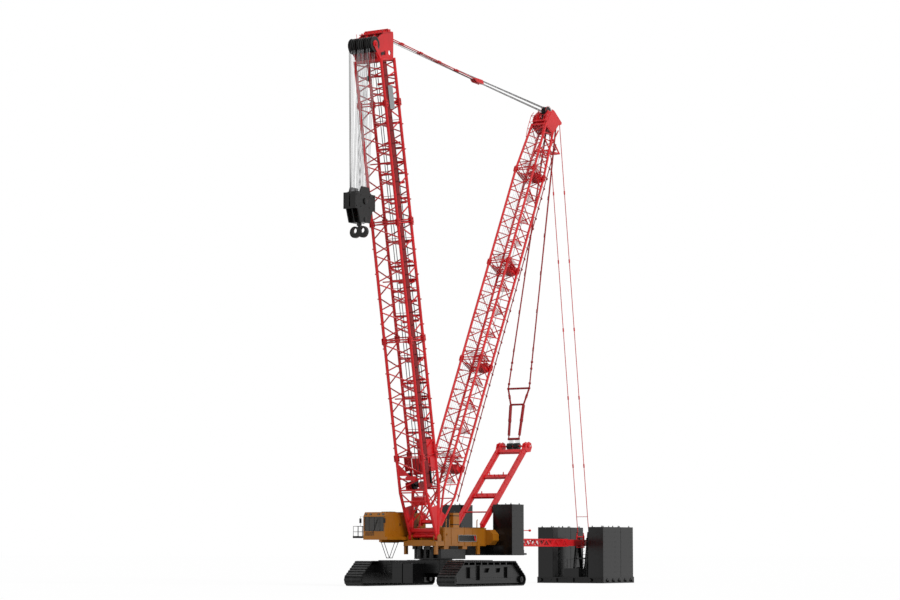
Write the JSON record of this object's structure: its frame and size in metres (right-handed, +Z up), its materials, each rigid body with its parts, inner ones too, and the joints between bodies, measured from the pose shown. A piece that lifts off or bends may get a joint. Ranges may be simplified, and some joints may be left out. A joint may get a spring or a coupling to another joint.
{
  "type": "1:2 scale model of a lattice-boom crawler crane",
  "caption": "Half-size lattice-boom crawler crane with back mast, rigging frame, hook block and trailing counterweight tray; slews, luffs, hoists and draws its tray in and out.",
  "frame": {"origin": "where the slewing axis meets the ground under the tracks", "axes": "+X to the front of the upper structure, +Y to its left, +Z up"},
  "size_m": [23.6328, 6.21, 26.1315],
  "materials": {
    "frame_red": "gloss enamel",
    "body_yellow": "gloss enamel",
    "chassis_black": "semi-gloss enamel",
    "weight_grey": "gloss enamel",
    "track_steel": "worn",
    "sheave_black": "machined grooves",
    "rope_red": "enamelled bars",
    "glass": "tinted",
    "seat_black": "moulded"
  },
  "bodies": {
    "undercarriage": {"carbody": "chassis_black", "carbody_weights": "weight_grey", "left_track": "track_steel", "right_track": "track_steel", "left_track_frame": "chassis_black", "right_track_frame": "chassis_black", "left_track_wheels": "track_steel", "right_track_wheels": "track_steel"},
    "upper": {"slew_table": "chassis_black", "main_frame": "body_yellow", "side_platform": "body_yellow", "railing": "chassis_black", "cab_floor": "body_yellow", "cab_roof": "body_yellow", "cab_front": "body_yellow", "cab_rear_wall": "body_yellow", "cab_left_wall": "body_yellow", "cab_right_wall": "body_yellow", "cab_glass": "glass", "cab_seat": "seat_black", "power_house": "body_yellow", "deck_tank": "body_yellow", "access_frame": "chassis_black", "weight_carrier": "chassis_black", "left_rear_weight": "weight_grey", "right_rear_weight": "weight_grey", "guide_beam": "frame_red", "gantry": "frame_red"},
    "cab_door": {"cab_door": "body_yellow"},
    "gantry_sheaves": {"gantry_sheaves": "sheave_black"},
    "hoist_drum": {"hoist_drum": "sheave_black"},
    "luffing_drum": {"luffing_drum": "sheave_black"},
    "boom": {"boom_base": "frame_red", "boom_section_1": "frame_red", "boom_section_2": "frame_red", "boom_section_3": "frame_red", "boom_head": "frame_red"},
    "boom_sheaves": {"boom_sheaves": "sheave_black"},
    "limit_weight": {"limit_weight": "chassis_black"},
    "hook_block": {"hook_block": "sheave_black"},
    "hook_sheaves": {"hook_sheaves": "sheave_black"},
    "hook": {"hook": "sheave_black"},
    "boom_stay": {"boom_stay": "rope_red"},
    "mast": {"mast_base": "frame_red", "mast_section_1": "frame_red", "mast_section_2": "frame_red", "mast_section_3": "frame_red", "mast_head": "frame_red"},
    "mast_sheaves": {"mast_sheaves": "sheave_black"},
    "mast_stay": {"mast_stay": "rope_red"},
    "tail_stay": {"tail_stay": "rope_red"},
    "tray": {"tray_base": "chassis_black", "tray_centre": "weight_grey", "left_tray_weight": "weight_grey", "right_tray_weight": "weight_grey", "beam_slide": "frame_red"}
  },
  "joints": [
    {"name": "slew", "type": "hinge", "parent": "undercarriage", "child": "upper", "pos_m": [0, 0, 1.275], "axis": [0, 0, 1], "continuous": true},
    {"name": "cab_door_slide", "type": "slide", "parent": "upper", "child": "cab_door", "axis": [-1, 0, 0], "range_m": [0, 0.6]},
    {"name": "boom_luff", "type": "hinge", "parent": "upper", "child": "boom", "pos_m": [1.005, 0, 2.305], "axis": [0, 1, 0], "range_deg": [-6, 49]},
    {"name": "boom_sheave_spin", "type": "hinge", "parent": "boom", "child": "boom_sheaves", "pos_m": [6.25277, 0, 25.21459], "axis": [0, 1, 0], "continuous": true},
    {"name": "hoist_hang", "type": "hinge", "parent": "boom", "child": "limit_weight", "pos_m": [6.25277, 0, 25.21459], "axis": [0, 1, 0], "range_deg": [-49.1, 6.2]},
    {"name": "hook_hoist", "type": "slide", "parent": "limit_weight", "child": "hook_block", "axis": [0, 0, 1], "range_m": [-15, 4]},
    {"name": "hook_sheave_spin", "type": "hinge", "parent": "hook_block", "child": "hook_sheaves", "pos_m": [6.57277, 0, 17.8], "axis": [0, 1, 0], "continuous": true},
    {"name": "hook_swivel", "type": "hinge", "parent": "hook_block", "child": "hook", "pos_m": [6.57277, 0, 16.9], "axis": [0, 0, 1], "continuous": true},
    {"name": "boom_stay_swing", "type": "hinge", "parent": "boom", "child": "boom_stay", "pos_m": [4.79339, 0, 25.98725], "axis": [0, 1, 0], "range_deg": [-27, 3.4]},
    {"name": "mast_luff", "type": "hinge", "parent": "upper", "child": "mast", "pos_m": [0.555, 0, 2.745], "axis": [0, 1, 0], "range_deg": [-1, 1.5]},
    {"name": "mast_sheave_spin", "type": "hinge", "parent": "mast", "child": "mast_sheaves", "pos_m": [-10.64362, 0, 24.4797], "axis": [0, 1, 0], "continuous": true},
    {"name": "mast_stay_swing", "type": "hinge", "parent": "mast", "child": "mast_stay", "pos_m": [-11.15004, 0, 23.9356], "axis": [0, 1, 0], "range_deg": [-0.5, 0.6]},
    {"name": "tail_stay_swing", "type": "hinge", "parent": "mast", "child": "tail_stay", "pos_m": [-11.45055, 0, 23.99384], "axis": [0, 1, 0], "range_deg": [-3.8, 2.8]},
    {"name": "tail_radius", "type": "slide", "parent": "upper", "child": "tray", "axis": [1, 0, 0], "range_m": [-1, 1.4]},
    {"name": "gantry_sheave_spin", "type": "hinge", "parent": "upper", "child": "gantry_sheaves", "pos_m": [-7.265, 0, 6.925], "axis": [0, 1, 0], "continuous": true},
    {"name": "hoist_drum_turn", "type": "hinge", "parent": "upper", "child": "hoist_drum", "pos_m": [-1.75, 0, 2.56], "axis": [0, 1, 0], "continuous": true},
    {"name": "luffing_drum_turn", "type": "hinge", "parent": "upper", "child": "luffing_drum", "pos_m": [-2.3, 0, 2.56], "axis": [0, 1, 0], "continuous": true}
  ],
  "couplings": [
    {"joint": "hoist_hang", "follows": "boom_luff", "ratio": -1},
    {"joint": "boom_stay_swing", "follows": "boom_luff", "ratio": -0.5489},
    {"joint": "mast_stay_swing", "follows": "mast_luff", "ratio": 0.3333},
    {"joint": "tail_stay_swing", "follows": "tail_radius", "rad_per_m": -0.04582}
  ]
}
